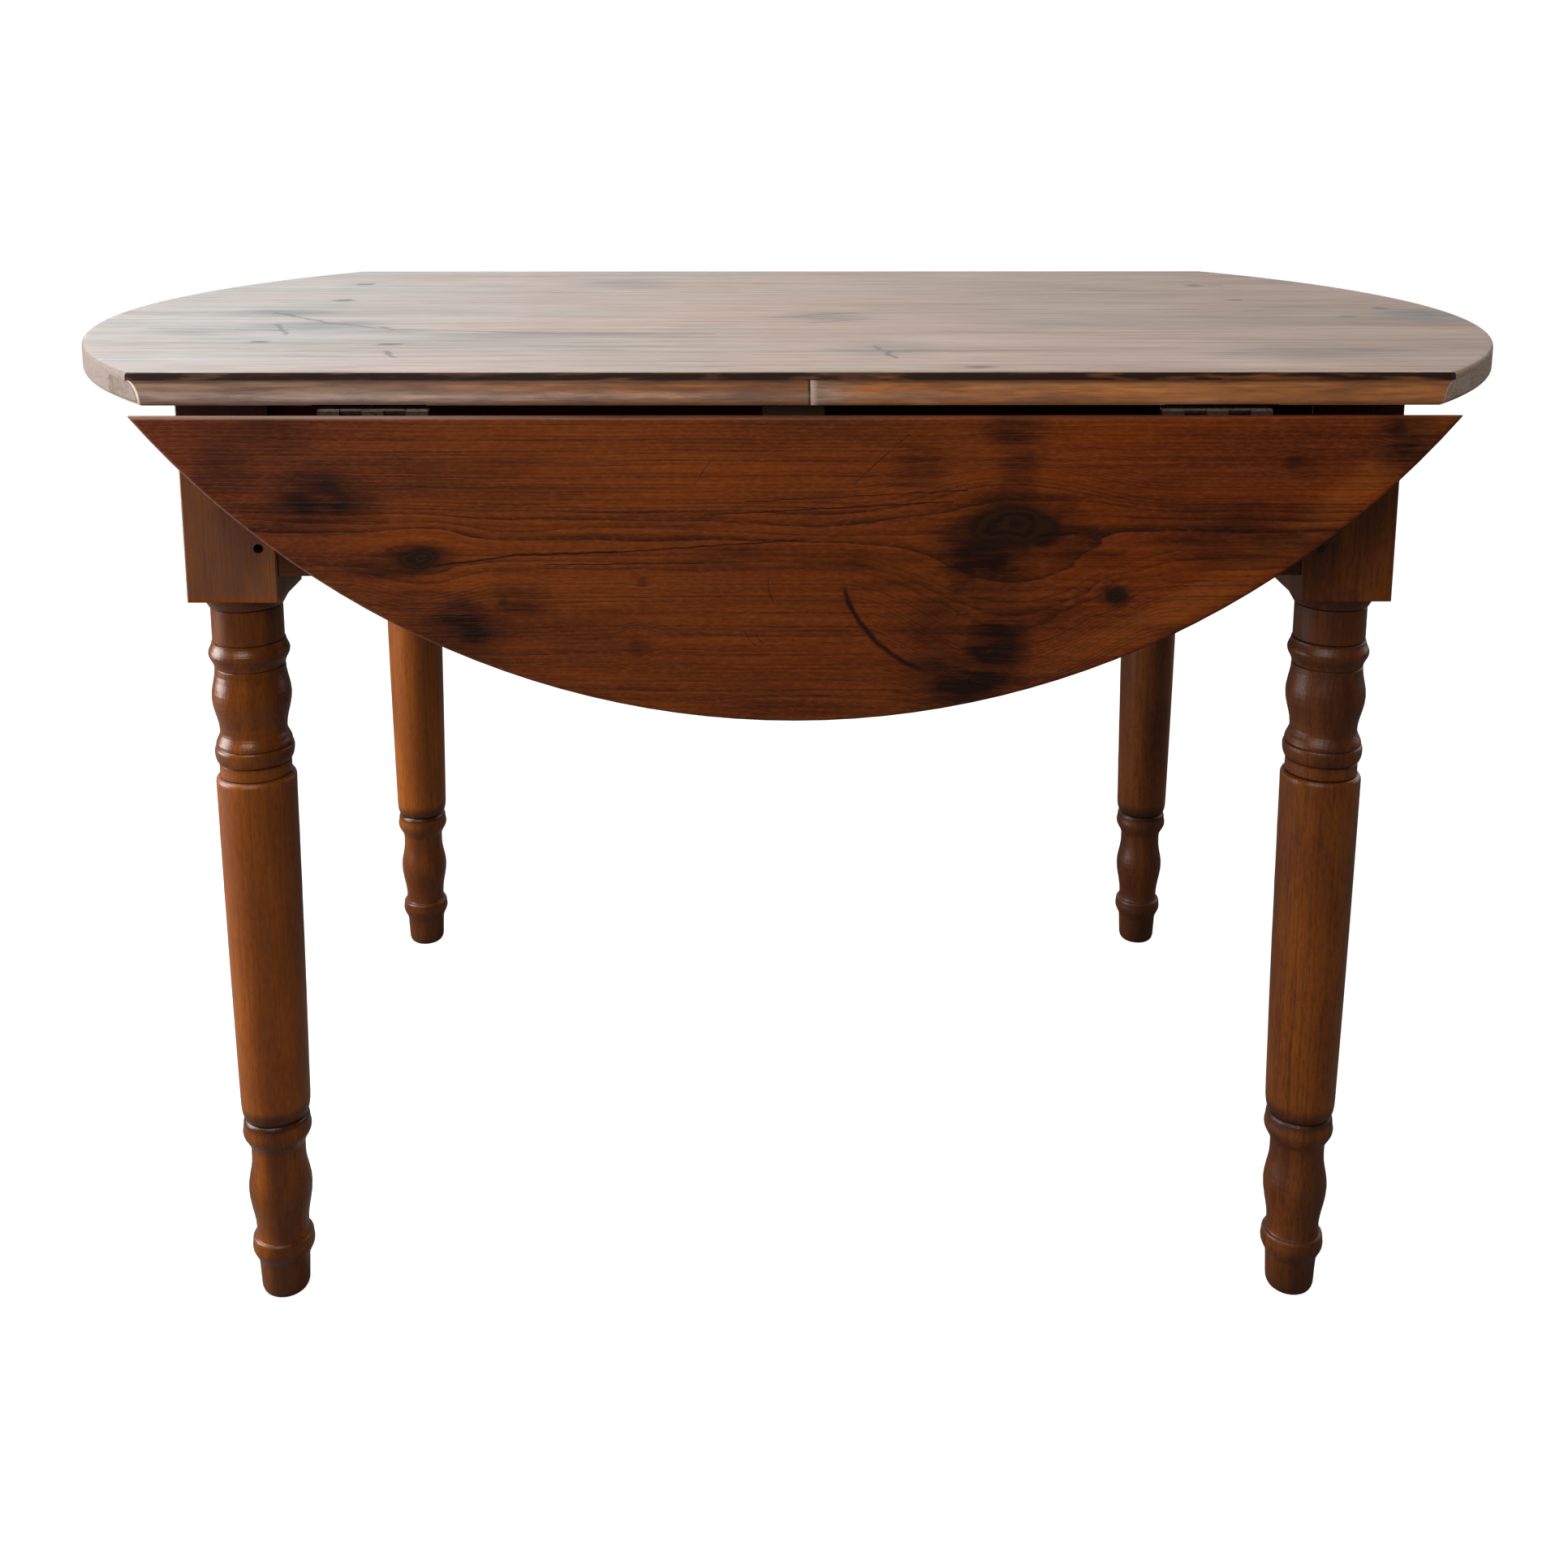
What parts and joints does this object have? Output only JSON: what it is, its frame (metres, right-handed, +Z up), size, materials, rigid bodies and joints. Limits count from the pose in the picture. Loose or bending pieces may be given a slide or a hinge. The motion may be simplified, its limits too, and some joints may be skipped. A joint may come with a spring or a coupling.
{
  "type": "drop-leaf dining table",
  "caption": "Round drop-leaf dining table in waxed pine, with a fixed centre top, hanging leaves on rule joints, turned legs and pull-out lopers.",
  "frame": {"origin": "on the floor, under the middle of the table", "axes": "+X along the hinges to the right as seen from the front, +Y to the back, +Z up; the leaves hang at rest"},
  "size_m": [1.168, 0.779, 0.75],
  "materials": {
    "top_pine": "worn wax",
    "moulding_pine": "worn wax, darkened by dirt",
    "leaf_pine": "satin wax over stained pine",
    "frame_pine": "satin wax over stained pine",
    "inside_pine": "bare, grown dark with age",
    "hinge_steel": "dull with age",
    "screw_steel": "dull with age"
  },
  "bodies": {
    "table": {"leg_front_left": "frame_pine", "leg_front_right": "frame_pine", "leg_back_left": "frame_pine", "leg_back_right": "frame_pine", "front_apron": "frame_pine", "back_apron": "frame_pine", "left_apron": "frame_pine", "right_apron": "frame_pine", "drawbore_pegs": "inside_pine", "top_board_front": "top_pine", "top_board_middle": "top_pine", "top_board_back": "top_pine", "front_moulding_left": "moulding_pine", "front_moulding_right": "moulding_pine", "back_moulding": "moulding_pine", "hinge_plate_front_left": "hinge_steel", "hinge_plate_front_right": "hinge_steel", "hinge_plate_back_left": "hinge_steel", "hinge_plate_back_right": "hinge_steel", "hinge_pin_front_left": "hinge_steel", "hinge_pin_front_right": "hinge_steel", "hinge_pin_back_left": "hinge_steel", "hinge_pin_back_right": "hinge_steel", "table_hinge_screws": "screw_steel", "loper_runner_left": "inside_pine", "loper_runner_right": "inside_pine", "loper_keeper_front": "inside_pine", "loper_keeper_back": "inside_pine", "loper_stop_block": "inside_pine", "keeper_screws": "screw_steel", "runner_screws": "screw_steel", "glue_block_front_left": "inside_pine", "glue_block_front_right": "inside_pine", "glue_block_back_left": "inside_pine", "glue_block_back_right": "inside_pine", "glue_block_left_front": "inside_pine", "glue_block_left_back": "inside_pine", "glue_block_right_front": "inside_pine", "glue_block_right_back": "inside_pine", "top_screws": "screw_steel"},
    "front_leaf": {"front_leaf": "leaf_pine", "leaf_plate_front_left": "hinge_steel", "leaf_plate_front_right": "hinge_steel", "front_leaf_hinge_screws": "screw_steel"},
    "back_leaf": {"back_leaf": "leaf_pine", "leaf_plate_back_left": "hinge_steel", "leaf_plate_back_right": "hinge_steel", "back_leaf_hinge_screws": "screw_steel"},
    "front_loper": {"front_loper": "inside_pine", "front_loper_stop_pin": "inside_pine"},
    "back_loper": {"back_loper": "inside_pine", "back_loper_stop_pin": "inside_pine"}
  },
  "joints": [
    {"name": "front_leaf_hinge", "type": "hinge", "parent": "table", "child": "front_leaf", "pos_m": [0, -0.363, 0.7235], "axis": [-1, 0, 0], "range_deg": [0, 90]},
    {"name": "back_leaf_hinge", "type": "hinge", "parent": "table", "child": "back_leaf", "pos_m": [0, 0.363, 0.7235], "axis": [1, 0, 0], "range_deg": [0, 90]},
    {"name": "front_loper_slide", "type": "slide", "parent": "table", "child": "front_loper", "axis": [0, -1, 0], "range_m": [0, 0.06]},
    {"name": "back_loper_slide", "type": "slide", "parent": "table", "child": "back_loper", "axis": [0, 1, 0], "range_m": [0, 0.06]}
  ],
  "couplings": [
    {"joint": "front_loper_slide", "follows": "front_leaf_hinge", "m_per_rad": 0.038197},
    {"joint": "back_loper_slide", "follows": "back_leaf_hinge", "m_per_rad": 0.038197}
  ]
}
